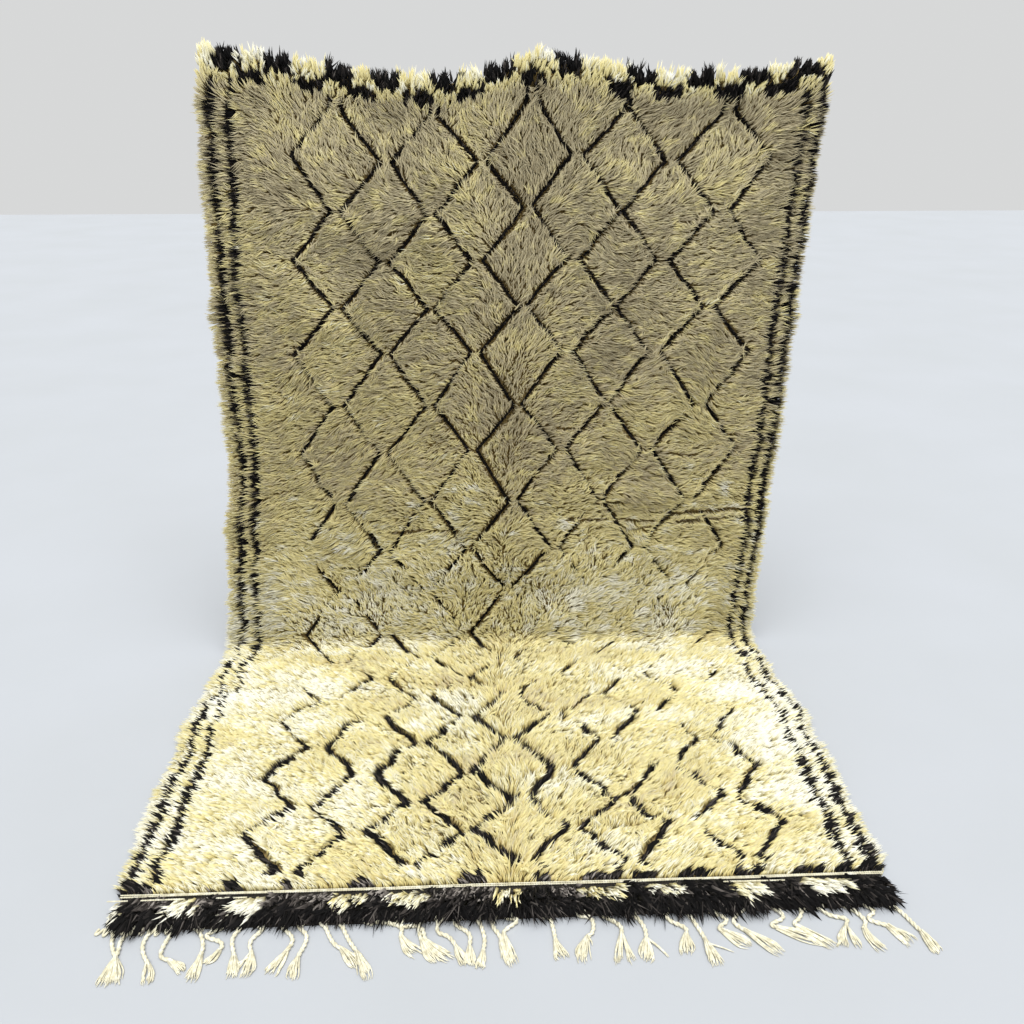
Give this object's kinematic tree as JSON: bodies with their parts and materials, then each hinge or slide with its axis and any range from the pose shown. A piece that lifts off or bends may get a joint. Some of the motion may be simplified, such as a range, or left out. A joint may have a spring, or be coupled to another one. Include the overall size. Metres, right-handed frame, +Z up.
{
  "type": "berber shag rug",
  "caption": "Hand-knotted shag wool rug with a lozenge net, checked ends and a tasselled fringe, hung by its top edge with its lower end lying on the floor.",
  "frame": {"origin": "middle of the flat underside that lies on the floor", "axes": "+X to the rug's right as seen from the pile, +Y towards the hanging part at the back, +Z up; the fringed end points towards -Y"},
  "size_m": [1.6504, 1.2819, 1.6312],
  "materials": {
    "pile_wool": "long hand-knotted wool pile, ivory with charcoal lines, matt and clumped",
    "warp_wool": "twisted undyed wool warp ends, matt"
  },
  "bodies": {
    "root": {"rug_shag": "pile_wool", "fringe_strip": "warp_wool"}
  },
  "joints": []
}
